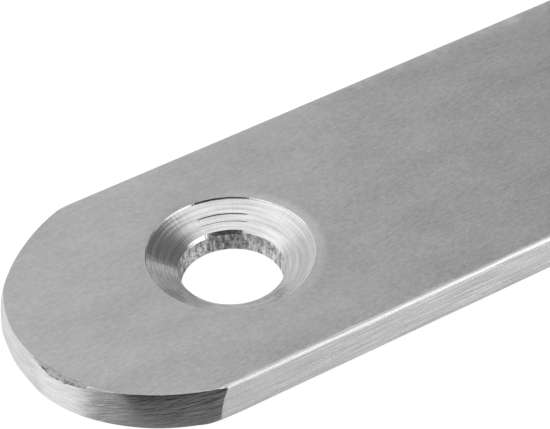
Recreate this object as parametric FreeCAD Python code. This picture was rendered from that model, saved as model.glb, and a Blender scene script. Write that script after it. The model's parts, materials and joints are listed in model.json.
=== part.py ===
"""Flat mending plate: a straight steel bar with ground round ends and a row of countersunk screw holes.

Millimetres. The plate lies along X with its countersinks up. The origin is at the middle of its underside.
"""
import FreeCAD, Part
import math
import os

from FreeCAD import Vector

# Bar stock
length = 150.0
width = 20.0
thickness = 2.6
long_edge_radius = 0.2          # drawn edge of the bar, along both long sides

# Ground ends: a shade rounder than the bar is wide, so each long side ends in a corner
end_radius_oversize = 0.13      # end radius less half the width, at the underside
end_lean = 0.06                 # the top of the end face stands this much further in than its foot
end_edge_radius = 0.05          # deburred edge round the top of the end

# Shoulders: flatter places to both sides of each tip, where the end was dressed once more
shoulder_angle = 57.0           # from the plate's axis to the middle of a shoulder
shoulder_oversize = 4.87        # shoulder radius less the end's
shoulder_lean = 0.36            # a shoulder leans in more than the rest of the end
shoulder_start = 0.03           # how far outside the end's foot its own cone would stand

# Screw holes, in one row on the centre line
hole_count = 4
hole_inset = 15.0               # tip of the plate to the centre of its first hole
bore_diameter = 6.6
bore_foot_break = 0.1           # chamfer where the drill left the underside

# Countersink, cut with a drill point, and the steps that its chatter left
sink_diameter = 10.8            # sharp rim of the cone
sink_angle = 118.0              # included angle of the cone
sink_step_depth = 0.035         # how far each chatter step stands back from the cone
sink_step_places = (0.46, 0.69) # along the cone, from rim to throat
throat_width = 0.15             # steeper band between the cone and the bore, seen in plan
throat_angle = 76.0             # included angle of that band

# Rolled lip round the countersink, where the face dips towards the rim
lip_width = 0.6
lip_drop = 0.06
lip_middle_share = 0.25         # of the drop that is left half way across the lip

clear = 1.0                     # how far a cutting tool runs past the metal


def polygon_face(points):
    """Flat face inside the closed outline through these points."""
    return Part.Face(Part.makePolygon(points + [points[0]]))


def bar():
    """The stock: a rectangle with four rounded corners, drawn along X."""
    blank = Part.makeBox(length, width, thickness, Vector(-length / 2, -width / 2, 0))
    long_edges = [e for e in blank.Edges if abs(e.BoundBox.XLength - length) < 1e-6]
    return blank.makeFillet(long_edge_radius, long_edges)


def ground_cone(foot, lean):
    """Round body with a leaning side and a broken edge at its top."""
    head = foot - lean
    section = polygon_face([
        Vector(0, 0, 0),
        Vector(foot, 0, 0),
        Vector(head, 0, thickness),
        Vector(0, 0, thickness),
    ])
    cone = section.revolve(Vector(0, 0, 0), Vector(0, 0, 1), 360)
    rims = [e for e in cone.Edges if isinstance(e.Curve, Part.Circle) and e.BoundBox.ZMin > thickness / 2]
    return cone.makeFillet(end_edge_radius, rims)


def end_disc():
    """Round body whose rim is the ground end face, with a shoulder to both sides of its tip."""
    foot = width / 2 + end_radius_oversize
    disc = ground_cone(foot, end_lean)
    offset = shoulder_start - shoulder_oversize
    for side in (1, -1):
        turn = math.radians(side * shoulder_angle)
        shoulder = ground_cone(foot + shoulder_oversize, shoulder_lean)
        shoulder.translate(Vector(offset * math.cos(turn), offset * math.sin(turn), 0))
        disc = disc.common(shoulder)
    return disc


def end_grinder():
    """What grinding takes off the +X end: everything beyond the end's centre that lies outside the disc."""
    disc_centre = length / 2 - width / 2 - end_radius_oversize
    reach = length / 2 - disc_centre + clear
    depth = thickness + 2 * clear
    waste = Part.makeBox(reach, width + 2 * clear, depth, Vector(disc_centre, -width / 2 - clear, -clear))
    disc = end_disc()
    disc.translate(Vector(disc_centre, 0, 0))
    return waste.cut(disc)


def cone_point(share):
    """Radius and height of the plain cone at this share of the way from rim to throat."""
    rim = sink_diameter / 2
    throat = bore_diameter / 2 + throat_width
    slope = math.tan(math.radians(sink_angle / 2))
    radius = rim + (throat - rim) * share
    return radius, thickness - lip_drop - (rim - radius) / slope


def countersink_outline():
    """Points of the drilled hole from the underside to the rim: bore, throat and stepped cone."""
    bore = bore_diameter / 2
    half_angle = math.radians(sink_angle / 2)
    out = Vector(math.cos(half_angle), 0, -math.sin(half_angle))   # into the metal, square to the cone
    throat, throat_height = cone_point(1)
    bore_top = throat_height - throat_width / math.tan(math.radians(throat_angle / 2))
    points = [
        Vector(bore + bore_foot_break, 0, 0),
        Vector(bore, 0, bore_foot_break),
        Vector(bore, 0, bore_top),
        Vector(throat, 0, throat_height),
    ]
    for share in reversed(sink_step_places):
        radius, height = cone_point(share)
        edge = Vector(radius, 0, height)
        points.append(edge)
        points.append(edge + out * sink_step_depth)
    rim, rim_height = cone_point(0)
    points.append(Vector(rim, 0, rim_height))
    return points


def hole_cutter():
    """The body that drilling and countersinking takes away, standing on the origin."""
    outline = countersink_outline()
    rim = outline[-1]
    lip_edge = Vector(rim.x + lip_width, 0, thickness)
    lip_middle = Vector(rim.x + lip_width / 2, 0, thickness - lip_drop * lip_middle_share)
    edges = [Part.makeLine(a, b) for a, b in zip(outline, outline[1:])]
    edges.append(Part.Arc(rim, lip_middle, lip_edge).toShape())
    cap = [
        lip_edge,
        Vector(lip_edge.x, 0, thickness + clear),
        Vector(0, 0, thickness + clear),
        Vector(0, 0, -clear),
        Vector(outline[0].x, 0, -clear),
        outline[0],
    ]
    edges += [Part.makeLine(a, b) for a, b in zip(cap, cap[1:])]
    section = Part.Face(Part.Wire(edges))
    return section.revolve(Vector(0, 0, 0), Vector(0, 0, 1), 360)


def hole_places():
    """X of each hole: the first and last set by the inset, the rest spread evenly between them."""
    first = -length / 2 + hole_inset
    if hole_count == 1:
        return [first]
    pitch = (length - 2 * hole_inset) / (hole_count - 1)
    return [first + pitch * i for i in range(hole_count)]


def mending_plate():
    plate = bar()
    grinder = end_grinder()
    plate = plate.cut(grinder)
    plate = plate.cut(grinder.rotated(Vector(0, 0, 0), Vector(0, 0, 1), 180))
    for x in hole_places():
        cutter = hole_cutter()
        cutter.translate(Vector(x, 0, 0))
        plate = plate.cut(cutter)
    return plate.Solids[0]


def main():
    os.makedirs("parts", exist_ok=True)
    plate = mending_plate()
    plate.exportStep("parts/mending_plate.step")
    print("mending_plate valid", plate.isValid(), "volume mm3", round(plate.Volume, 2))


main()
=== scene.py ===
import json
import math

import bmesh
import bpy
import numpy as np
from mathutils import Matrix, Vector


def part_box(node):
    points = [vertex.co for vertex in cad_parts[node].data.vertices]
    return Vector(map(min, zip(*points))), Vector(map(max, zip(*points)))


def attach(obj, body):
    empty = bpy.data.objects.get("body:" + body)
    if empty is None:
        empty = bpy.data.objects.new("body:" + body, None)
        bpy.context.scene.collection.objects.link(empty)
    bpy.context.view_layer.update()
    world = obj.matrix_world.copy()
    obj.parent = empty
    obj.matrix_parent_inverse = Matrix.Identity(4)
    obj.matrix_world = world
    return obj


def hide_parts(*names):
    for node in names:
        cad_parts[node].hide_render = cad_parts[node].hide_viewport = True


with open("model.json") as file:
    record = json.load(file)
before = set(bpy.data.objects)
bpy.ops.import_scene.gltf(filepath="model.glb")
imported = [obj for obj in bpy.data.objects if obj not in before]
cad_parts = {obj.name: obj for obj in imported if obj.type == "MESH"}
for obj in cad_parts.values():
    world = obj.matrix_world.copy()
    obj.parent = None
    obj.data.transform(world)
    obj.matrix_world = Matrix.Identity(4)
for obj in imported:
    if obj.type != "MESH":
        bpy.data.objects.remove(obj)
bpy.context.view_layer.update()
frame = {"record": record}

mm = 0.001
bores = [m for m in frame["record"]["mounts"] if m["kind"] == "bore"]
holeX = sorted(m["pos_m"][0] / mm for m in bores)
low, high = (np.array(corner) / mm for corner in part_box("mending_plate"))
print("frame: plate", np.round(high - low, 2), "mm with", len(bores), "holes")


# Small helpers for shapes

def smooth(value, start, stop):
    # 0 before start, 1 after stop, an S-shaped rise 3t^2 - 2t^3 between
    t = np.clip((value - start) / (stop - start), 0, 1)
    return t * t * (3 - 2 * t)


def sector(angle, start, stop, soft):
    # 1 between the bearings start and stop (degrees), falling to 0 within soft degrees outside them
    middle, half = (start + stop) / 2, (stop - start) / 2
    away = np.abs((np.degrees(angle) - middle + 180) % 360 - 180)
    return 1 - smooth(away, half, half + soft)


def ripple(points, wavelength, seed, stretch=(1, 1, 1), waves=28, pace=(0.6, 1.5)):
    # Sum of cosine waves in random directions and phases, most of it within -1..1. Wavelength is the usual
    # distance between crests, pace how much it varies, and stretch draws the pattern out along an axis.
    rng = np.random.default_rng(seed)
    direction = rng.normal(size=(waves, 3))
    direction /= np.linalg.norm(direction, axis=1, keepdims=True)
    turns = 2 * np.pi / wavelength * rng.uniform(*pace, (waves, 1))
    phase = rng.uniform(0, 2 * np.pi, waves)
    return np.cos((points / np.array(stretch)) @ (direction * turns).T + phase).sum(-1) / math.sqrt(waves)


def ripples(points, layers, turn=0):
    # Sum of ripples, each with its own share, length and stretch, and its own seed plus turn
    return sum(w["share"] * ripple(points, w["length"], w["seed"] + turn, w["stretch"]) for w in layers)


def addObject(name, data):
    made = bpy.data.objects.new(name, data)
    bpy.context.collection.objects.link(made)
    return made


finishes = ["face", "side", "end", "cone", "throat", "bore"]
crisp = {finishes.index(name) for name in ("cone", "throat", "bore")}   # their borders are shaded as edges


# The bar: drawn sides, rounded long edges and ground ends. Millimetres and degrees.

bar = {
    "halfLength": (high[0] - low[0]) / 2,
    "halfWidth": (high[1] - low[1]) / 2,
    "thickness": high[2] - low[2],
    "endRun": (high[0] - low[0]) / 2 - holeX[-1],   # from the last hole to the tip
    "edgeRadius": 0.2,          # near upper edge; the far upper edge and the lower ones are a shade sharper
    "edgeDepth": 1.4,           # an upper edge is rounded this many times as far down as in
    "farEdgeRadius": 0.13,
    "lowerEdgeRadius": 0.13,
    "cornerFootRadius": 0.12,   # added to the lower edge's radius at an end's corner, over edgeBlend
    "endEdgeRadius": 0.02,      # edges of the ground ends
    "edgeBlend": 1.1,           # run of the arc over which the long edges' rounding dies out
    "endOversize": 0.13,        # end radius less half the width, at the underside
    "endLean": 0.06,            # how far the top of the end stands in from its foot
    "shoulderOversize": 4.87,   # radius of the flatter shoulders less the end's
    "shoulderStart": 0.03,      # how far outside the end's foot their own cone would stand
    "shoulderSoft": 0.012,      # blend where a shoulder meets the rest of the end
    "leanPower": 1.5,           # a shoulder leans in more and more towards its top
    "swellPower": 3,            # swells fade late on their way up the wall
    "shoulders": (              # left and right of a tip; a swell is (start, stop, at foot, at top)
        {"angle": 58, "lean": 0.23, "standsOut": 0,
         "swells": ((1, 12, 0.10, 0.02), (24, 45, -0.10, -0.02), (66, 77, 0.12, 0.05))},
        {"angle": 55, "lean": 0.46, "standsOut": 0.1, "swells": ((2, 11, 0.03, 0.0), (12, 31, 0.23, 0.0))},
    ),
    "burrWidth": 0.08,          # smeared band beside the long edges
    "burrKept": 0.25,           # share of that width on the ground ends
    "burrDrop": 0.012,
    "burrRagged": 0.55,         # how far the band's width comes and goes
    "burrLimits": (-1.2, 1.6),
    "burrWaves": [
        dict(share=1, length=0.6, seed=5, stretch=(1, 1, 1)),
        dict(share=0.5, length=2.4, seed=6, stretch=(1, 1, 1)),
    ],
    "strip": 1.2,               # border of the face that has rows of its own
    "sideWave": 0.005,          # unevenness of the drawn sides, only ever inwards
    "sideWaves": [dict(share=0.5, length=4, seed=22, stretch=(3, 3, 0.3))],
    "sideWaveStart": (9, 14),   # distances from the tips between which it sets in
    "grindWave": 0.008,         # unevenness of the ground ends, only ever inwards
    "grindWaves": [dict(share=0.5, length=3.2, seed=21, stretch=(1, 1, 0.5))],
    "wornSector": (13, 27, 7),  # worn stretch on the first end's top edge: bearings from its tip, and fade
    "wornEdge": 0.07,           # added to the edge's radius there
    "smearSector": (17, 20, 13),    # a lip of metal smeared down over the wall
    "smearReach": 0.5,
    "columns": 512,             # columns once round a cell
    "borderColumns": 80,        # of them, where two cells meet
    "arcColumns": 200,          # of them, on the arc of an end
    "halfArc": 1.4,             # length of half an arc, in half widths
    "cornerSpan": (60, 89),     # bearings between which an end meets the long sides
    "cornerHalvings": 24,
    "cornerSupport": 0.02,      # distance from an end's corner to the column beside it
    "weld": 0.0005,             # points closer than this are one
    "sharpAngle": 30,           # steeper folds are shaded as edges
}
filletSteps = np.radians(np.array([18, 36, 54, 72, 90]))[:, None]   # rows of a rounding, as angles
wallShares = np.linspace(0, 1, 6)[1:-1, None]   # rows of the wall between two roundings
middleRow = 10                  # one of those rows


def cellRows(edge, lower, burr, ragged):
    # Inset from the outline and height of every row of the skin, for each column: strip of the top face,
    # smeared band, upper rounding as a quarter ellipse, wall, lower rounding as a quarter circle, underside
    top = bar["thickness"]
    shoulder = top - burr * bar["burrDrop"]
    deep = edge * bar["edgeDepth"]
    kept = bar["burrKept"]
    band = bar["burrWidth"] * (kept + (1 - kept) * burr) * (1 + ragged)
    flat = np.ones_like(edge)
    insets = [
        [flat * bar["strip"]],
        [edge + band],
        [edge],
        edge * (1 - np.sin(filletSteps)),
        flat * 0 * wallShares,
        lower * (1 - np.sin(filletSteps[::-1])),
        [lower],
        [lower + bar["burrWidth"]],
        [flat * bar["strip"]],
    ]
    heights = [
        [flat * top],
        [flat * top],
        [shoulder],
        shoulder - deep * (1 - np.cos(filletSteps)),
        (shoulder - deep) + (deep + lower - shoulder) * wallShares,
        lower * (1 - np.cos(filletSteps[::-1])),
        [flat * 0],
        [flat * 0],
        [flat * 0],
    ]
    return np.concatenate(insets), np.concatenate(heights)


def groundEnd(fromAxis, inset, height):
    # Radius of the ground end about its centre. The plain cone is its foot less a lean in proportion to the
    # height, plus swells that rise with the bearing. A flatter cone cuts it off at each shoulder: its axis
    # lies back from the centre, so its radius from there follows the cosine rule.
    foot = bar["halfWidth"] + bar["endOversize"]
    share = height / bar["thickness"]
    radius = foot - bar["endLean"] * share - inset
    for side, shoulder in zip((1, -1), bar["shoulders"]):
        aside = side * fromAxis
        for start, stop, atFoot, atTop in shoulder["swells"]:
            swell = atFoot + (atTop - atFoot) * np.clip(share, 0, 1) ** bar["swellPower"]
            radius = radius + swell * smooth(np.degrees(aside), start, stop)
        flatter = foot + bar["shoulderOversize"] + shoulder["standsOut"] - inset
        flatter = flatter - shoulder["lean"] * np.clip(share, 0, 1) ** bar["leanPower"]
        back = bar["shoulderOversize"] - bar["shoulderStart"]
        away = aside - math.radians(shoulder["angle"])
        cut = np.sqrt(flatter ** 2 - (back * np.sin(away)) ** 2) - back * np.cos(away)
        soft = bar["shoulderSoft"]
        radius = radius - soft * np.logaddexp(0, (radius - cut) / soft)
    return radius


def endCorner(side, half, inset, height):
    # Bearing at which the end meets the long side to the left (1) or right (-1) of its tip, by halving the
    # span in which the radius times the sine of the bearing passes half the width
    short, past = (np.full_like(half, math.radians(bearing)) for bearing in bar["cornerSpan"])
    for _ in range(bar["cornerHalvings"]):
        middle = (short + past) / 2
        outside = groundEnd(side * middle, inset, height) * np.sin(middle) > half
        past = np.where(outside, middle, past)
        short = np.where(outside, short, middle)
    return side * past


def evenThenCorner(count, support):
    # Even shares from 0 to nearly 1 and then 1 itself, so that count steps end in a crisp corner
    return np.append(np.linspace(0, 1 - support, count), 1)


def cellOutline(isEnd, reach, inset, height):
    # Plan of each row once round a cell, counter-clockwise, with the hole at (0, 0).
    # A middle cell is a rectangle. An end cell's +X side is an arc, cut off where it meets the long sides.
    # Also returned: which columns are skin, and every column's bearing from the tip, 180 off the arc.
    half = bar["halfWidth"] - inset
    border = np.linspace(-1, 1, bar["borderColumns"] + 1)[:-1]
    first = bar["arcColumns"] if isEnd else bar["borderColumns"]
    side = (bar["columns"] - first - border.size) // 2
    n = np.cumsum([0, first, side, border.size, side])
    x, y = np.empty_like(half), np.empty_like(half)
    fromTip = np.full(bar["columns"], 180.0)
    free = np.zeros(bar["columns"], bool)
    free[n[1]:n[2]] = free[n[3]:n[4]] = True
    if isEnd:
        centre = bar["endRun"] - bar["halfWidth"] - bar["endOversize"]
        left = endCorner(1, half, inset, height)
        right = endCorner(-1, half, inset, height)
        leftX = centre + half / np.tan(left)
        rightX = centre - half / np.tan(right)
        quarter = evenThenCorner(first // 2, bar["cornerSupport"] / (bar["halfWidth"] * bar["halfArc"]))
        arc = slice(n[0], n[1])
        share = np.concatenate([-quarter[:0:-1], quarter])[:-1]
        fromAxis = np.where(share < 0, -share * right[:, arc], share * left[:, arc])
        radius = groundEnd(fromAxis, inset[:, arc], height[:, arc])
        x[:, arc] = centre + radius * np.cos(fromAxis)
        y[:, arc] = radius * np.sin(fromAxis)
        fromTip[arc] = np.degrees(fromAxis[middleRow])
        free[arc] = True
        run = evenThenCorner(side, bar["cornerSupport"] / reach)
    else:
        leftX = rightX = half * 0 + reach
        x[:, n[0]:n[1]] = reach
        y[:, n[0]:n[1]] = border * half[:, n[0]:n[1]]
        run = np.linspace(0, 1, side + 1)
    x[:, n[1]:n[2]] = -reach + (leftX[:, n[1]:n[2]] + reach) * run[:0:-1]
    y[:, n[1]:n[2]] = half[:, n[1]:n[2]]
    x[:, n[2]:n[3]] = -reach
    y[:, n[2]:n[3]] = -border * half[:, n[2]:n[3]]
    x[:, n[3]:n[4]] = -reach + (rightX[:, n[3]:n[4]] + reach) * run[:-1]
    y[:, n[3]:n[4]] = -half[:, n[3]:n[4]]
    return x, y, free, fromTip


# The holes: torn and slightly tapered bore, steep throat, turned cone with chatter steps, rolled lip

hole = {
    "boreRadius": bores[0]["dims"]["r_mm"],
    "taper": (-0.06, 0.08),     # added to the bore's radius at its foot and at its top
    "footBreak": 0.03,
    "footRing": 0.3,            # flat ring of the underside round the broken edge
    "throatDepth": 1.2,         # of the throat's top below the face
    "throatRadius": 3.53,       # where the cone ends and the steep throat begins, inside this sector
    "throatSector": (43, 112, 1),
    "throatDrop": 0.25,
    "throatNarrow": 0.04,       # width and drop of the throat elsewhere
    "runOnStart": 0.9,          # share of the cone at which it starts to run on down to that
    "rimRadius": 5.4,
    "rimBand": 0.085,           # steep band just under the rolled lip: drop and width
    "rimRun": 0.06,
    "lipWidth": 0.65,
    "lipDrop": 0.06,
    "lipPower": 1.5,            # the lip's slope grows towards the rim
    "lipFaces": 2,              # bearing at which the lip is deepest; it dies out opposite
    "lipRows": 7,
    "apron": 0.15,              # flat ring outside the lip
    "steps": [                  # chatter steps: place from rim to throat, height, sector of the cone
        dict(at=0.17, height=0.012, start=40, stop=100),
        dict(at=0.39, height=0.02, start=166, stop=206),
        dict(at=0.48, height=0.07, start=46, stop=86),
        dict(at=0.72, height=0.05, start=45, stop=88),
        dict(at=0.80, height=0.02, start=196, stop=262),
    ],
    "stepSoft": 2,              # degrees in which a step dies out
    "stepRun": 0.004,           # half of a step's own share of the cone
    "stepClear": 0.012,         # the cone's even rows keep this share of it away from a step
    "ringRough": 0.0045,        # random height of the fine rings
    "ringSeed": 40,
    "ringFade": 0.05,           # share of the cone over which they die out at both its borders
    "ringSwell": 0.45,          # share of their height that comes and goes, and its waves
    "ringSwellLength": 1.5,
    "ringSwellDrift": 3,
    "tear": 0.012,              # roughness of the bore
    "tearWaves": [
        dict(share=1, length=0.45, seed=70, stretch=(1, 1, 3)),
        dict(share=0.6, length=0.225, seed=90, stretch=(1, 1, 1)),
    ],
    "coneRows": 26,
    "boreRows": 10,
    "columns": 256,
    "turnEach": 137,            # each hole's marks are turned from the last one's
    "offCentre": (0.12, -0.05, 0.08, -0.1),     # of each hole from the plate's centre line
}


def coneHeights(shares, turned, rimHeight, number):
    # Height of the cone at each share of the way from rim to throat: a straight slope, plus half of every
    # step's height, which rises towards the step from the one before and falls after it, plus random rings
    throatHeight = bar["thickness"] - hole["throatDepth"]
    height = rimHeight + (throatHeight - rimHeight) * shares * np.ones_like(turned)
    places = [0] + [s["at"] for s in hole["steps"]] + [1]
    for before, step, after in zip(places, hole["steps"], places[2:]):
        at = step["at"]
        drop = step["height"] * sector(turned, step["start"], step["stop"], hole["stepSoft"])
        rise = np.clip((shares - before) / (at - before), 0, 1) * (shares < at)
        fall = np.clip((after - shares) / (after - at), 0, 1) * (shares > at)
        height += (rise - fall) * drop / 2
    rng = np.random.default_rng(hole["ringSeed"] + number)
    wheel = np.stack([np.cos(turned), np.sin(turned), turned * 0], -1)
    swell = ripple(wheel + shares[..., None] * hole["ringSwellDrift"], hole["ringSwellLength"], number)
    steady = 1 - hole["ringSwell"]
    inner = smooth(shares, 0, hole["ringFade"]) * smooth(1 - shares, 0, hole["ringFade"])
    rings = rng.normal(size=shares.shape) * hole["ringRough"] * (steady + hole["ringSwell"] * swell)
    return height + rings * inner


def holeSurface(angle, place, number):
    # Surface of revolution from the underside up the bore, out along the cone and over the lip. Every row
    # has a radius and a height at each angle, because steps, throat, lip and tearing vary round the hole.
    top = bar["thickness"]
    turned = angle - math.radians(hole["turnEach"] * number)
    flat = np.ones_like(angle)
    lip, throat, bore = hole["rimRadius"], hole["throatRadius"], hole["boreRadius"]
    rim = lip - hole["rimRun"]
    rimHeight = top - hole["lipDrop"] - hole["rimBand"]

    # Cone: even shares from rim to throat, and two rows close together at every step
    gap = hole["stepRun"]
    steps = np.array([s["at"] for s in hole["steps"]])
    even = np.linspace(0, 1, hole["coneRows"])
    even = even[np.abs(even[:, None] - steps).min(axis=1) > hole["stepClear"]]
    shares = np.sort(np.concatenate([even, steps - gap, steps + gap]))[:, None]
    height = coneHeights(shares, turned, rimHeight, number)
    coneRadius = (rim + (throat - rim) * shares) * flat

    # Outside its sector the throat is narrow: the cone's last rows run on down its slope towards the bore
    foot, head = (bore + more for more in hole["taper"])
    wide = sector(turned, *hole["throatSector"])
    slope = (rimHeight - height[-1].mean()) / (rim - throat)
    runOn = (throat - head - hole["throatNarrow"]) * (1 - wide) * smooth(shares, hole["runOnStart"], 1)
    coneRadius = coneRadius - runOn
    height = height - runOn * slope
    boreTop = height[-1] - hole["throatNarrow"] - (hole["throatDrop"] - hole["throatNarrow"]) * wide

    lipShares = np.linspace(0, 1, hole["lipRows"])[:, None]
    lipDepth = hole["lipDrop"] * (0.5 + 0.5 * np.cos(turned - math.radians(hole["lipFaces"])))
    lipHeight = top - lipDepth * (1 - lipShares) ** hole["lipPower"]

    boreShares = np.linspace(0, 1, hole["boreRows"])[:, None]
    boreHeight = hole["footBreak"] + (boreTop - hole["footBreak"]) * boreShares
    radius = np.concatenate([
        [flat * (foot + hole["footBreak"] + hole["footRing"])],
        [flat * (foot + hole["footBreak"])],
        (foot + (head - foot) * boreShares) * flat,
        coneRadius[::-1],
        (lip + hole["lipWidth"] * lipShares) * flat,
        [flat * (lip + hole["lipWidth"] + hole["apron"])],
    ])
    level = np.concatenate([
        [flat * 0],
        [flat * 0],
        boreHeight,
        height[::-1],
        lipHeight,
        [flat * top],
    ])
    points = np.stack([radius * np.cos(angle), radius * np.sin(angle), level], -1)
    marks = np.stack([radius * np.cos(turned), radius * np.sin(turned), level], -1)

    # Torn wall: the radius shrinks and grows with ripples, but for the bore's lowest and highest row
    bite = ripples(points, hole["tearWaves"], turn=number)
    push = np.zeros(len(points))
    push[3:1 + hole["boreRows"]] = hole["tear"] / bore
    points[..., :2] *= (1 + bite * push[:, None])[..., None]
    zones = ["face"] + ["bore"] * hole["boreRows"] + ["throat"] + ["cone"] * len(shares)
    zones = [finishes.index(finish) for finish in zones + ["face"] * hole["lipRows"]]
    return points + np.array([*place, 0]), marks, zones


# Joining grids into one closed skin

def gridQuads(grid):
    # Quads between neighbouring rows and columns, once round, turned so that rows that run outwards face up
    beside = np.roll(grid, -1, axis=1)
    return np.stack([grid[:-1], grid[1:], beside[1:], beside[:-1]], -1)


def stitch(inner, outer, upwards):
    # Triangles between a ring and a ring with twice its columns
    a, b = inner, np.roll(inner, -1)
    c, d, e = outer[::2], outer[1::2], np.roll(outer, -2)[::2]
    fans = np.concatenate([np.stack(t, -1) for t in ((a, c, d), (a, d, b), (b, d, e))])
    return fans if upwards else fans[:, ::-1]


def cellSkin(isEnd, facing, x, reach, number):
    # Outer skin of one cell: rows and outline, with the rounding blended between side and end, a ragged
    # smeared band, a worn stretch on the first end, and walls that are uneven by ripples pushed inwards.
    # Its marks are (distance along the outline, height, distance in from the edge).
    edge = np.full(bar["columns"], bar["edgeRadius"])
    inset, height = cellRows(edge, edge, np.ones_like(edge), np.zeros_like(edge))
    planX, planY, free, fromTip = cellOutline(isEnd, reach, inset, height)
    plan = np.stack([facing * planX[middleRow] + x, facing * planY[middleRow], edge * 0], -1)
    onArc = fromTip < 180
    arcStep = 2 * bar["halfWidth"] * bar["halfArc"] / bar["arcColumns"]
    columns = np.arange(bar["columns"])
    fromCorner = np.minimum(columns, np.abs(columns - bar["arcColumns"])) * arcStep
    intoArc = onArc * smooth(fromCorner, 0, bar["edgeBlend"])
    worn = sector(np.radians(fromTip), *bar["wornSector"]) * (number == 0)
    smeared = sector(np.radians(fromTip), *bar["smearSector"]) * (number == 0) * bar["smearReach"]
    upper = np.where(plan[:, 1] > 0, bar["farEdgeRadius"], bar["edgeRadius"])
    ground = bar["endEdgeRadius"] + worn * bar["wornEdge"]
    edge = upper + (ground - upper) * intoArc
    lower = bar["lowerEdgeRadius"] + (bar["endEdgeRadius"] - bar["lowerEdgeRadius"]) * intoArc
    lower = lower + bar["cornerFootRadius"] * (1 - smooth(fromCorner, 0, bar["edgeBlend"])) * isEnd
    ragged = bar["burrRagged"] * ripples(plan, bar["burrWaves"]).clip(*bar["burrLimits"])
    inset, height = cellRows(edge, lower, 1 - intoArc, ragged)

    # The waves' share in each row: none on the flat faces, growing along the roundings, and all on the wall
    flat, rounding = np.zeros((3, 1)), np.sin(filletSteps)
    wall = np.concatenate([flat, rounding, np.ones_like(wallShares), rounding[::-1], flat])
    spot = np.stack(np.broadcast_arrays(plan[:, 0], plan[:, 1], height), -1)
    grind = (0.5 + ripples(spot, bar["grindWaves"])).clip(0, 1)
    drawn = (0.5 + ripples(spot, bar["sideWaves"])).clip(0, 1)
    onSide = smooth(bar["halfLength"] - np.abs(plan[:, 0]), *bar["sideWaveStart"])
    inset += wall * (intoArc * bar["grindWave"] * grind + onSide * bar["sideWave"] * drawn)
    planX, planY, free, fromTip = cellOutline(isEnd, reach, inset, height)
    zone = np.where(onArc, finishes.index("end"), finishes.index("side"))
    kind = np.broadcast_to(zone, height[1:].shape).copy()
    kind[[0, -1]] = finishes.index("face")
    along = np.where(onArc, np.radians(fromTip) * bar["halfWidth"], plan[:, 0])
    marks = np.stack(np.broadcast_arrays(along, height, inset), -1)
    smear = np.broadcast_to(smeared, height.shape)
    return np.stack([facing * planX + x, facing * planY, height], -1), marks, smear, kind, free


def buildPlate():
    # One cell round each hole: skin and hole are grids, joined on the flat faces by rings of triangles.
    # The rows of marks are (skin marks, hole marks, smear). A hole's skin marks lie far in from the edge;
    # the skin's hole marks are its own points.
    reach = (holeX[1] - holeX[0]) / 2
    points, marks, quads, kinds, fans = [], [], [], [], []
    count = 0
    for number, x in enumerate(holeX):
        isEnd = number in (0, len(holeX) - 1)
        facing = -1 if number == 0 else 1       # the first cell is an end cell turned half round
        skin, skinMarks, smear, kind, free = cellSkin(isEnd, facing, x, reach, number)
        skinGrid = count + np.arange(smear.size).reshape(smear.shape)
        count += skinGrid.size
        lead = (bar["arcColumns"] if isEnd else bar["borderColumns"]) / 2 / bar["columns"]
        turn = np.pi if facing < 0 else 0
        angle = 2 * np.pi * (np.arange(hole["columns"]) / hole["columns"] - lead) + turn
        aside = hole["offCentre"][number % len(hole["offCentre"])]
        bored, holeMarks, zones = holeSurface(angle, (x, aside), number)
        holeGrid = count + np.arange(bored[..., 0].size).reshape(bored.shape[:2])
        count += holeGrid.size
        points += [skin.reshape(-1, 3), bored.reshape(-1, 3)]
        plain = np.zeros((holeGrid.size, 1))
        marks += [np.hstack([skinMarks.reshape(-1, 3), skin.reshape(-1, 3), smear.reshape(-1, 1)])]
        marks += [np.hstack([plain, plain, plain + bar["halfWidth"], holeMarks.reshape(-1, 3), plain])]
        quads += [gridQuads(skinGrid)[:, free].reshape(-1, 4), gridQuads(holeGrid).reshape(-1, 4)]
        kinds += [kind[:, free].ravel(), np.repeat(zones, hole["columns"])]
        fans.append(stitch(holeGrid[-1], skinGrid[0], upwards=True))
        fans.append(stitch(holeGrid[0], skinGrid[-1], upwards=False))
    return [np.concatenate(part) for part in (points, marks, quads, kinds, fans)]


def storeMarks(mesh, name, kind, field, values):
    # One value for every vertex, read by the finishes
    mesh.attributes.new(name, kind, "POINT").data.foreach_set(field, values.astype(np.float32).ravel())


def plateObject():
    points, marks, quads, kinds, fans = buildPlate()
    used, corners = np.unique(np.concatenate([quads.ravel(), fans.ravel()]), return_inverse=True)
    faces = corners[:quads.size].reshape(-1, 4).tolist() + corners[quads.size:].reshape(-1, 3).tolist()
    mesh = bpy.data.meshes.new("steelPlate")
    mesh.from_pydata((points[used] * mm).tolist(), [], faces)
    kinds = np.concatenate([kinds, np.full(len(fans), finishes.index("face"))])
    mesh.polygons.foreach_set("material_index", kinds.astype(np.int32))
    storeMarks(mesh, "skinMarks", "FLOAT_VECTOR", "vector", marks[used, 0:3])
    storeMarks(mesh, "holeMarks", "FLOAT_VECTOR", "vector", marks[used, 3:6])
    storeMarks(mesh, "smear", "FLOAT", "value", marks[used, 6])
    mesh.shade_smooth()
    welder = bmesh.new()
    welder.from_mesh(mesh)
    bmesh.ops.remove_doubles(welder, verts=welder.verts, dist=bar["weld"] * mm)
    sharp = math.cos(math.radians(bar["sharpAngle"]))
    for edge in welder.edges:
        one, other = edge.link_faces
        border = {one.material_index, other.material_index}
        parted = len(border) > 1 and border & crisp
        edge.smooth = not parted and one.normal.dot(other.normal) > sharp
    openEdges = sum(not e.is_manifold for e in welder.edges)
    welder.to_mesh(mesh)
    welder.free()
    plate = addObject("steelPlate", mesh)
    triangles = sum(len(p.vertices) - 2 for p in mesh.polygons)
    print("plate:", len(mesh.vertices), "vertices,", triangles, "triangles,", openEdges, "open edges")
    return plate


steelPlate = plateObject()
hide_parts("mending_plate")
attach(steelPlate, "root")


# Node helpers

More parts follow.
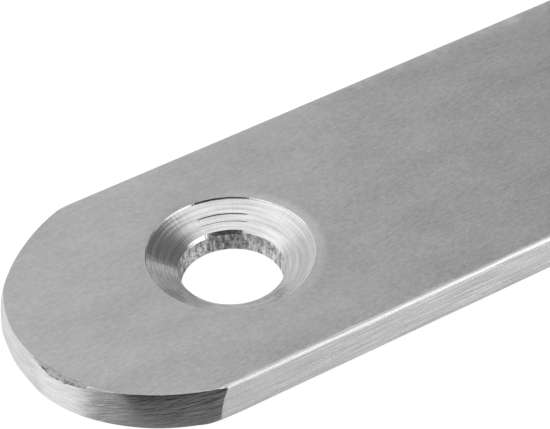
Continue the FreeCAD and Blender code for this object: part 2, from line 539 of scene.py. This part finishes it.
def addNode(tree, kind, **settings):
    node = tree.nodes.new("ShaderNode" + kind)
    for name, value in settings.items():
        setattr(node, name, value)
    return node


def feed(tree, target, value):
    # A socket takes its value from another socket, or a plain number, vector or colour
    if isinstance(value, bpy.types.NodeSocket):
        tree.links.new(value, target)
    else:
        target.default_value = value


def maths(tree, operation, *values, clamp=False):
    node = addNode(tree, "Math", operation=operation, use_clamp=clamp)
    for target, value in zip(node.inputs, values):
        feed(tree, target, value)
    return node.outputs[0]


def vectorMaths(tree, operation, first, second=None):
    node = addNode(tree, "VectorMath", operation=operation)
    feed(tree, node.inputs[0], first)
    if second is not None:
        feed(tree, node.inputs["Scale" if operation == "SCALE" else 1], second)
    return node.outputs["Value" if operation == "LENGTH" else "Vector"]


def partsOf(tree, vector):
    # X, Y and Z of a vector
    node = addNode(tree, "SeparateXYZ")
    feed(tree, node.inputs[0], vector)
    return node.outputs


def joined(tree, values):
    # Vector of three values
    node = addNode(tree, "CombineXYZ")
    for target, value in zip(node.inputs, values):
        feed(tree, target, value)
    return node.outputs[0]


def risen(tree, value, start, stop):
    # 0 up to start, 1 from stop on and an S-shaped rise between; stop may be the lower of the two
    node = addNode(tree, "MapRange", interpolation_type="SMOOTHSTEP")
    for target, given in (("Value", value), ("From Min", start), ("From Max", stop)):
        feed(tree, node.inputs[target], given)
    return node.outputs["Result"]


def placeGroup(tree, name, values):
    # A node group in a material or in another group, with its inputs fed; returns its outputs
    node = addNode(tree, "Group", node_tree=bpy.data.node_groups[name])
    for title, value in values.items():
        feed(tree, node.inputs[title], value)
    return node.outputs


# Steel finishes. Patterns read places in millimetres.

def newGroup(name, defaults, results):
    # Empty node group with its inputs and outputs; also returns the sockets inside
    group = bpy.data.node_groups.new(name, "ShaderNodeTree")
    for title, value in defaults.items():
        kind = "Vector" if isinstance(value, tuple) else "Float"
        socket = group.interface.new_socket(title, in_out="INPUT", socket_type="NodeSocket" + kind)
        socket.default_value = value
    for title, kind in results.items():
        group.interface.new_socket(title, in_out="OUTPUT", socket_type="NodeSocket" + kind)
    return group, group.nodes.new("NodeGroupInput").outputs, group.nodes.new("NodeGroupOutput").inputs


def grainGroup():
    # Noise of Size millimetres, turned by Slant in the plane of the first two axes, drawn out by Stretch,
    # then spread about its middle by Contrast and kept within 0..1
    group, given, made = newGroup("drawnGrain", {
        "Place": (0, 0, 0),
        "Slant": 0,
        "Stretch": (1, 1, 1),
        "Size": 0.2,
        "Detail": 3,
        "Contrast": 2,
        "Shift": 0,
    }, {"Value": "Float"})
    turn = addNode(group, "VectorRotate", rotation_type="Z_AXIS")
    feed(group, turn.inputs["Vector"], given["Place"])
    feed(group, turn.inputs["Angle"], given["Slant"])
    drawn = vectorMaths(group, "DIVIDE", turn.outputs[0], given["Stretch"])
    sized = vectorMaths(group, "SCALE", drawn, maths(group, "DIVIDE", 1.0, given["Size"]))
    noise = addNode(group, "TexNoise")
    noise.inputs["Scale"].default_value = 1
    feed(group, noise.inputs["Vector"], vectorMaths(group, "ADD", sized, given["Shift"]))
    feed(group, noise.inputs["Detail"], given["Detail"])
    centred = maths(group, "SUBTRACT", noise.outputs["Fac"], 0.5)
    feed(group, made["Value"], maths(group, "MULTIPLY_ADD", centred, given["Contrast"], 0.5, clamp=True))


def polarGroup():
    # Marks round a hole as a place: radius, then the direction from the axis times a middling radius
    group, given, made = newGroup("roundHole", {"Marks": (0, 0, 0)}, {"Place": "Vector"})
    flat = vectorMaths(group, "MULTIPLY", given["Marks"], (1, 1, 0))
    toward = vectorMaths(group, "NORMALIZE", flat)
    middling = (hole["rimRadius"] + hole["throatRadius"]) / 2
    parts = partsOf(group, vectorMaths(group, "SCALE", toward, middling))
    place = joined(group, (vectorMaths(group, "LENGTH", flat), parts["X"], parts["Y"]))
    feed(group, made["Place"], place)


# How the smeared lip changes the finish under it, and the noise that tears its border

smearedLip = {
    "finish": "end",
    "dull": 0.62,               # share of the finish's tone that is left
    "rough": 0.4,
    "darkness": 0.85,           # of its torn border
    "stretch": (1.8, 1, 1),
    "contrast": 3,
    "onset": 12.0,              # how fast it appears as its reach grows
    "brokenFrom": 0.42,         # the border shows where the noise is above this
    "brokenSteep": 5.0,
    "spotsFrom": 0.55,          # and the spots where it is above this
}


def smearGroup():
    # Lip of metal smeared down over a ground end. It ends at the depth Reach, made uneven by Ragged times
    # noise. Cover is 1 above that depth and falls to 0 over Fade. Torn is 1 on it and falls to 0 over Line,
    # broken by noise, with spots of its own above it.
    group, given, made = newGroup("smearedLip", {
        "Marks": (0, 0, 0),
        "Reach": 0,
        "Top": 1,
        "Ragged": 0.3,
        "Size": 0.45,
        "Fade": 0.06,
        "Line": 0.12,
        "Spots": 1.3,
    }, {"Cover": "Float", "Torn": "Float"})
    grain = []
    for share in (1.0, 0.5):
        grain.append(placeGroup(group, "drawnGrain", {
            "Place": given["Marks"],
            "Stretch": smearedLip["stretch"],
            "Size": maths(group, "MULTIPLY", given["Size"], share),
            "Contrast": smearedLip["contrast"],
            "Shift": share,
        })["Value"])
    coarse, fine = grain
    depth = maths(group, "SUBTRACT", given["Top"], partsOf(group, given["Marks"])["Y"])
    uneven = maths(group, "MULTIPLY", maths(group, "SUBTRACT", coarse, 0.5), given["Ragged"])
    above = maths(group, "SUBTRACT", maths(group, "ADD", given["Reach"], uneven), depth)
    present = maths(group, "MULTIPLY", given["Reach"], smearedLip["onset"], clamp=True)
    cover = maths(group, "ADD", maths(group, "DIVIDE", above, given["Fade"]), 0.5, clamp=True)
    near = maths(group, "DIVIDE", maths(group, "ABSOLUTE", above), given["Line"])
    line = maths(group, "SUBTRACT", 1.0, near, clamp=True)
    broken = maths(group, "SUBTRACT", fine, smearedLip["brokenFrom"])
    broken = maths(group, "MULTIPLY", broken, smearedLip["brokenSteep"], clamp=True)
    spots = maths(group, "SUBTRACT", fine, smearedLip["spotsFrom"])
    spots = maths(group, "MULTIPLY", spots, given["Spots"], clamp=True)
    line = maths(group, "MULTIPLY", line, broken)
    torn = maths(group, "MAXIMUM", line, maths(group, "MULTIPLY", spots, cover))
    feed(group, made["Cover"], maths(group, "MULTIPLY", cover, present))
    feed(group, made["Torn"], maths(group, "MULTIPLY", torn, present))


# For each finish: darkest and lightest base colour, least and most roughness, anisotropy and the direction
# in which highlights are drawn out, height of the marks in mm, the place they follow, and layers of grain.
# A layer's slant is in degrees; height and tone are its shares of the bump and of the colour and roughness.
# A finish with a foot also grows rougher below its reach, a share of the wall's height.
steels = {
    "face": {
        "tone": (0.475, 0.77), "rough": (0.27, 0.36), "pull": 0.2, "across": (0, 1, 0), "depth": 0.008,
        "place": "plate",
        "marks": [
            dict(stretch=(2.2, 1, 1), size=0.17, contrast=2.2, height=0.6, tone=0.35),
            dict(stretch=(9, 1, 1), size=0.14, contrast=2.2, height=0.3, tone=0.2),
            dict(stretch=(2, 1, 1), size=2.6, contrast=2.0, height=0.1, tone=0.3),
        ],
    },
    "side": {
        "tone": (0.54, 0.78), "rough": (0.22, 0.34), "pull": 0.5, "across": (0, 0, 1), "depth": 0.021,
        "place": "skin",
        "marks": [
            dict(stretch=(26, 1, 1), size=0.15, contrast=2.8, height=0.6, tone=0.6),
            dict(stretch=(10, 1, 1), size=0.3, contrast=2.0, height=0.3, tone=0.3),
            dict(stretch=(1.5, 1, 1), size=0.12, contrast=2.0, height=0.1, tone=0.1),
        ],
    },
    "end": {
        "tone": (0.52, 0.76), "rough": (0.15, 0.26), "pull": 0.5, "across": (0, 0, 1), "depth": 0.026,
        "foot": {"rough": 0.1, "reach": 0.75},
        "place": "skin",
        "marks": [
            dict(slant=-16, stretch=(14, 1, 1), size=0.12, contrast=3.0, height=0.3, tone=0.3),
            dict(slant=-5, stretch=(8, 1, 1), size=0.2, contrast=3.0, height=0.35, tone=0.3),
            dict(slant=-24, stretch=(4, 1, 1), size=0.55, contrast=3.4, height=0.35, tone=0.4),
        ],
    },
    "cone": {
        "tone": (0.46, 0.80), "rough": (0.08, 0.16), "pull": 0.6, "across": (0, 0, 1), "depth": 0.009,
        "place": "hole",
        "marks": [
            dict(stretch=(1, 30, 30), size=0.15, contrast=3.6, height=0.2, tone=0.25),
            dict(stretch=(1, 40, 40), size=0.09, contrast=3.0, height=0.4, tone=0.35),
            dict(stretch=(14, 1, 1), size=0.12, contrast=2.4, height=0.4, tone=0.2),
            dict(stretch=(1, 14, 14), size=0.22, contrast=2.6, height=0.2, tone=0.6),
        ],
    },
    "throat": {
        "tone": (0.60, 1.0), "rough": (0.12, 0.26), "pull": 0.0, "across": (0, 0, 1), "depth": 0.008,
        "place": "hole",
        "marks": [
            dict(stretch=(6, 1, 1), size=0.12, contrast=2.4, height=0.6, tone=0.6),
            dict(stretch=(1, 6, 6), size=0.08, contrast=2.4, height=0.4, tone=0.4),
        ],
    },
    "bore": {
        "tone": (0.2, 1.0), "rough": (0.4, 0.65), "pull": 0.0, "across": (0, 0, 1), "depth": 0.04,
        "place": "plate",
        "marks": [
            dict(stretch=(1, 1, 2.5), size=0.26, contrast=5.0, height=0.5, tone=0.6),
            dict(stretch=(1, 1, 1.2), size=0.13, contrast=4.0, height=0.5, tone=0.4),
        ],
    },
}
layerShift = 7.3        # keeps the layers of a finish apart in the noise


def markPlace(tree, kind):
    # The place that marks follow: the plate itself, the outline of the bar (skin) or the round of a hole
    if kind == "plate":
        return vectorMaths(tree, "SCALE", addNode(tree, "TexCoord").outputs["Object"], 1 / mm)
    marks = addNode(tree, "Attribute", attribute_name=kind + "Marks").outputs["Vector"]
    return placeGroup(tree, "roundHole", {"Marks": marks})["Place"] if kind == "hole" else marks


def duller(tree, rough, place, foot):
    # Roughness plus a share of the foot's own: 1 at the foot of the wall, and 0 from its reach up
    share = risen(tree, partsOf(tree, place)["Y"], bar["thickness"] * foot["reach"], 0)
    return maths(tree, "MULTIPLY_ADD", share, foot["rough"], rough)


def smeared(tree, shade, rough, place):
    # Under the smeared lip the shade is multiplied down to dull and the roughness moves to its own. The
    # lip's torn border darkens the shade by darkness.
    reach = addNode(tree, "Attribute", attribute_name="smear").outputs["Fac"]
    lip = placeGroup(tree, "smearedLip", {"Marks": place, "Reach": reach, "Top": bar["thickness"]})
    kept = maths(tree, "MULTIPLY_ADD", lip["Cover"], smearedLip["dull"] - 1, 1.0)
    torn = maths(tree, "MULTIPLY_ADD", lip["Torn"], -smearedLip["darkness"], 1.0)
    toLip = maths(tree, "MULTIPLY", maths(tree, "SUBTRACT", smearedLip["rough"], rough), lip["Cover"])
    shade = maths(tree, "MULTIPLY", shade, maths(tree, "MULTIPLY", kept, torn))
    return shade, maths(tree, "ADD", rough, toLip)


def steelMaterial(name, look):
    # Two weighted sums of grain layers: one is the height of the bump, the other sets tone and roughness
    material = bpy.data.materials.new(name + "Steel")
    material.use_nodes = True
    tree = material.node_tree
    shader = tree.nodes["Principled BSDF"]
    shader.inputs["Metallic"].default_value = 1
    shader.inputs["Anisotropic"].default_value = look["pull"]
    place = markPlace(tree, look["place"])
    height = tone = 0.0
    for number, layer in enumerate(look["marks"]):
        grain = placeGroup(tree, "drawnGrain", {
            "Place": place,
            "Slant": math.radians(layer.get("slant", 0)),
            "Stretch": layer["stretch"],
            "Size": layer["size"],
            "Contrast": layer["contrast"],
            "Shift": layerShift * number,
        })["Value"]
        height = maths(tree, "MULTIPLY_ADD", grain, layer["height"], height)
        tone = maths(tree, "MULTIPLY_ADD", grain, layer["tone"], tone)
    least, most = look["rough"]
    rough = maths(tree, "MULTIPLY_ADD", tone, most - least, least)
    if "foot" in look:
        rough = duller(tree, rough, place, look["foot"])
    dark, light = look["tone"]
    shade = maths(tree, "MULTIPLY_ADD", tone, light - dark, dark)
    if name == smearedLip["finish"]:
        shade, rough = smeared(tree, shade, rough, place)
    feed(tree, shader.inputs["Roughness"], rough)
    colour = addNode(tree, "CombineColor")
    for socket in colour.inputs[:3]:
        feed(tree, socket, shade)
    feed(tree, shader.inputs["Base Color"], colour.outputs[0])
    bump = addNode(tree, "Bump")
    bump.inputs["Distance"].default_value = look["depth"] * mm
    feed(tree, bump.inputs["Height"], height)
    feed(tree, shader.inputs["Normal"], bump.outputs["Normal"])
    feed(tree, shader.inputs["Tangent"], joined(tree, look["across"]))
    return material


grainGroup()
polarGroup()
smearGroup()
for name in finishes:
    steelPlate.data.materials.append(steelMaterial(name, steels[name]))
print("finishes:", ", ".join(finishes))


# Camera: found from the plate's straight edges, its end and its first hole

shot = {
    "pictureSize": (550, 429),
    "holeInPicture": (232.06, 253.43),  # pixel of the first hole's middle, on the top face's centre line
    "azimuth": 31.28,           # degrees, clockwise from +Y as the camera looks
    "elevation": 40.87,
    "roll": -2.06,
    "distance": 187.9,          # mm, along the view to the first hole
    "focal": 3002.5,            # pixels
    "sensor": 36.0,
    "clip": (0.01, 10.0),       # m
}


def makeCamera():
    # The view's axes from azimuth, elevation and roll; the place sets the hole at its pixel and distance
    azimuth, elevation, roll = (math.radians(shot[k]) for k in ("azimuth", "elevation", "roll"))
    flat = Vector((math.sin(azimuth), math.cos(azimuth), 0))
    forward = flat * math.cos(elevation) - Vector((0, 0, math.sin(elevation)))
    level = Vector((math.cos(azimuth), -math.sin(azimuth), 0))
    upright = level.cross(forward)
    right = math.cos(roll) * level + math.sin(roll) * upright
    up = math.cos(roll) * upright - math.sin(roll) * level
    width, height = shot["pictureSize"]
    pixel = shot["distance"] / shot["focal"]
    aside = (shot["holeInPicture"][0] - width / 2) * pixel
    above = (height / 2 - shot["holeInPicture"][1]) * pixel
    target = Vector((holeX[0], 0, high[2]))
    place = target - right * aside - up * above - forward * shot["distance"]
    data = bpy.data.cameras.new("camera")
    data.sensor_width = shot["sensor"]
    data.lens = shot["sensor"] * shot["focal"] / width
    data.clip_start, data.clip_end = shot["clip"]
    camera = addObject("camera", data)
    turn = Matrix((right, up, -forward)).transposed().to_4x4()
    camera.matrix_world = Matrix.Translation(place * mm) @ turn
    bpy.context.scene.camera = camera


makeCamera()


# Studio: a white floor that keeps a faint shadow, one softbox, and a light tent that only the metal mirrors

studio = {
    "floorSize": 6.0,           # m
    "floorDrop": 0.002,         # mm below the plate
    "floorTone": 0.9,
    "floorGlow": 1.14,          # keeps the floor white round the shadow
    "shadowShare": 0.22,        # of the floor's look that comes from its real lighting
    "fill": 0.75,               # world light
    "lamp": {"azimuth": 145, "elevation": 55, "distance": 0.9, "size": 0.7, "power": 4.0},
    "tentRadius": 3.0,
    "tentSegments": (64, 32),
    "tentTone": 0.74,
    "panels": {                 # on the tent: spans of bearing and elevation, soft edges to both, tone
        "roof": dict(azimuth=(-180, 180), elevation=(58, 90), soft=(1, 14), tone=1.02),
        "softbox": dict(azimuth=(92, 182), elevation=(36, 70), soft=(40, 14), tone=1.12),
        "back right": dict(azimuth=(10, 58), elevation=(22, 58), soft=(20, 12), tone=0.30),
        "left glow": dict(azimuth=(134, 196), elevation=(-12, 24), soft=(10, 8), tone=1.5),
        "low left": dict(azimuth=(84, 172), elevation=(-70, -28), soft=(16, 12), tone=0.95),
        "low glow": dict(azimuth=(130, 178), elevation=(-70, -28), soft=(24, 12), tone=1.2),
        "right wall": dict(azimuth=(48, 80), elevation=(-28, 30), soft=(8, 10), tone=0.73),
        "right edge": dict(azimuth=(24, 50), elevation=(-30, 15), soft=(8, 8), tone=0.22),
        "edge light": dict(azimuth=(26, 44), elevation=(-4, 8), soft=(5, 4), tone=0.6),
        "right foot": dict(azimuth=(-22, 74), elevation=(-75, -24), soft=(8, 10), tone=0.15),
        "card shade": dict(azimuth=(-38, 12), elevation=(16, 53), soft=(14, 14), tone=0.25),
        "dark card": dict(azimuth=(-12, 22.7), elevation=(2, 46), soft=(2, 6), tone=0.18),
        "rim shade": dict(azimuth=(-23, -8), elevation=(-6, 30), soft=(3, 8), tone=0.2),
        "below": dict(azimuth=(-180, 180), elevation=(-90, -68), soft=(1, 8), tone=0.4),
        "low right": dict(azimuth=(289, 338), elevation=(-58, -30), soft=(1.5, 6), tone=0.71),
        "strip": dict(azimuth=(289, 323), elevation=(-24, 30), soft=(1.5, 8), tone=1.4),
        "strip foot": dict(azimuth=(289, 323), elevation=(-24, -6), soft=(1.5, 8), tone=2.1),
        "low side": dict(azimuth=(182, 250), elevation=(-75, -35), soft=(16, 6), tone=0.27),
        "high side": dict(azimuth=(208, 250), elevation=(-36, 46), soft=(16, 6), tone=0.17),
        "low front": dict(azimuth=(230, 288), elevation=(-75, -20), soft=(1.5, 8), tone=0.27),
        "dark front": dict(azimuth=(214, 288), elevation=(-34, 46), soft=(1.5, 6), tone=0.05),
        "strip head": dict(azimuth=(284, 301), elevation=(8, 38), soft=(1.5, 8), tone=1.8),
        "left head": dict(azimuth=(185, 213), elevation=(18, 34), soft=(3, 6), tone=1.3),
    },
}


def stageMaterial(name):
    material = bpy.data.materials.new(name)
    material.use_nodes = True
    material.node_tree.nodes.clear()
    return material, material.node_tree, addNode(material.node_tree, "OutputMaterial").inputs["Surface"]


def makeFloor():
    half = studio["floorSize"] / 2
    data = bpy.data.meshes.new("floor")
    corners = [(-half, -half, 0), (half, -half, 0), (half, half, 0), (-half, half, 0)]
    data.from_pydata(corners, [], [(0, 1, 2, 3)])
    floor = addObject("floor", data)
    floor.location.z = -studio["floorDrop"] * mm
    floor.visible_glossy = False
    material, tree, surface = stageMaterial("whiteFloor")
    paint = addNode(tree, "BsdfDiffuse")
    paint.inputs["Color"].default_value = (studio["floorTone"],) * 3 + (1,)
    glow = addNode(tree, "Emission")
    glow.inputs["Strength"].default_value = studio["floorGlow"]
    mix = addNode(tree, "MixShader")
    seen = addNode(tree, "LightPath").outputs["Is Camera Ray"]
    feed(tree, mix.inputs[0], maths(tree, "MULTIPLY", seen, 1 - studio["shadowShare"]))
    feed(tree, mix.inputs[1], paint.outputs[0])
    feed(tree, mix.inputs[2], glow.outputs[0])
    feed(tree, surface, mix.outputs[0])
    data.materials.append(material)


def panelGroup():
    # Lays a panel over the tone so far. Its cover is the product of two shares, one for the bearing and one
    # for the elevation, each falling from 1 to 0 over Soft degrees about the panel's edge.
    group, given, made = newGroup("tentPanel", {
        "Bearing": 0,
        "Elevation": 0,
        "Below": 0,
        "Middle": (0, 0, 0),
        "Half": (10, 10, 0),
        "Soft": (1, 1, 0),
        "Tone": 1,
    }, {"Tone": "Float"})
    middle, half, soft = (partsOf(group, given[title]) for title in ("Middle", "Half", "Soft"))
    cover = 1.0
    for title, axis in (("Bearing", "X"), ("Elevation", "Y")):
        away = maths(group, "SUBTRACT", given[title], middle[axis])
        away = maths(group, "ABSOLUTE", maths(group, "WRAP", away, 180.0, -180.0))
        away = maths(group, "SUBTRACT", away, half[axis])
        outer, inner = (maths(group, "MULTIPLY", soft[axis], share) for share in (0.5, -0.5))
        cover = maths(group, "MULTIPLY", risen(group, away, outer, inner), cover)
    change = maths(group, "SUBTRACT", given["Tone"], given["Below"])
    feed(group, made["Tone"], maths(group, "MULTIPLY_ADD", change, cover, given["Below"]))


def makeTent():
    # Every panel is laid over the last, read by the bearing and elevation of the place on the tent
    panelGroup()
    ball = bmesh.new()
    across, upright = studio["tentSegments"]
    bmesh.ops.create_uvsphere(ball, u_segments=across, v_segments=upright, radius=studio["tentRadius"])
    data = bpy.data.meshes.new("lightTent")
    ball.to_mesh(data)
    ball.free()
    data.shade_smooth()
    tent = addObject("lightTent", data)
    for kind in ("camera", "diffuse", "transmission", "shadow", "volume_scatter"):
        setattr(tent, "visible_" + kind, False)
    material, tree, surface = stageMaterial("tentCloth")
    material.cycles.emission_sampling = "NONE"
    parts = partsOf(tree, vectorMaths(tree, "NORMALIZE", addNode(tree, "TexCoord").outputs["Object"]))
    bearing = maths(tree, "DEGREES", maths(tree, "ARCTAN2", parts["Y"], parts["X"]))
    elevation = maths(tree, "DEGREES", maths(tree, "ARCSINE", parts["Z"]))
    tone = studio["tentTone"]
    for panel in studio["panels"].values():
        (left, right), (foot, head) = panel["azimuth"], panel["elevation"]
        tone = placeGroup(tree, "tentPanel", {
            "Bearing": bearing,
            "Elevation": elevation,
            "Below": tone,
            "Middle": ((left + right) / 2, (foot + head) / 2, 0),
            "Half": ((right - left) / 2, (head - foot) / 2, 0),
            "Soft": (*panel["soft"], 0),
            "Tone": panel["tone"],
        })["Tone"]
    glow = addNode(tree, "Emission")
    feed(tree, glow.inputs["Strength"], tone)
    feed(tree, surface, glow.outputs[0])
    data.materials.append(material)


def makeLight():
    lamp = studio["lamp"]
    data = bpy.data.lights.new("softbox", "AREA")
    data.size, data.energy = lamp["size"], lamp["power"]
    softbox = addObject("softbox", data)
    a, e = (math.radians(lamp[k]) for k in ("azimuth", "elevation"))
    toward = Vector((math.cos(a) * math.cos(e), math.sin(a) * math.cos(e), math.sin(e)))
    softbox.location = toward * lamp["distance"]
    softbox.rotation_euler = toward.to_track_quat("Z", "Y").to_euler()
    softbox.visible_camera = softbox.visible_glossy = False
    world = bpy.data.worlds.new("studio")
    bpy.context.scene.world = world
    world.use_nodes = True
    tree = world.node_tree
    tree.nodes.clear()
    ray = addNode(tree, "LightPath").outputs
    shown = maths(tree, "MAXIMUM", ray["Is Camera Ray"], ray["Is Glossy Ray"])
    strength = maths(tree, "MULTIPLY_ADD", shown, 1 - studio["fill"], studio["fill"])
    sky = addNode(tree, "Background")
    sky.inputs["Color"].default_value = (1, 1, 1, 1)
    feed(tree, sky.inputs["Strength"], strength)
    feed(tree, addNode(tree, "OutputWorld").inputs["Surface"], sky.outputs[0])


makeFloor()
makeTent()
makeLight()
bpy.context.scene.view_settings.view_transform = "Standard"
print("studio: floor, softbox and tent with", len(studio["panels"]), "panels")
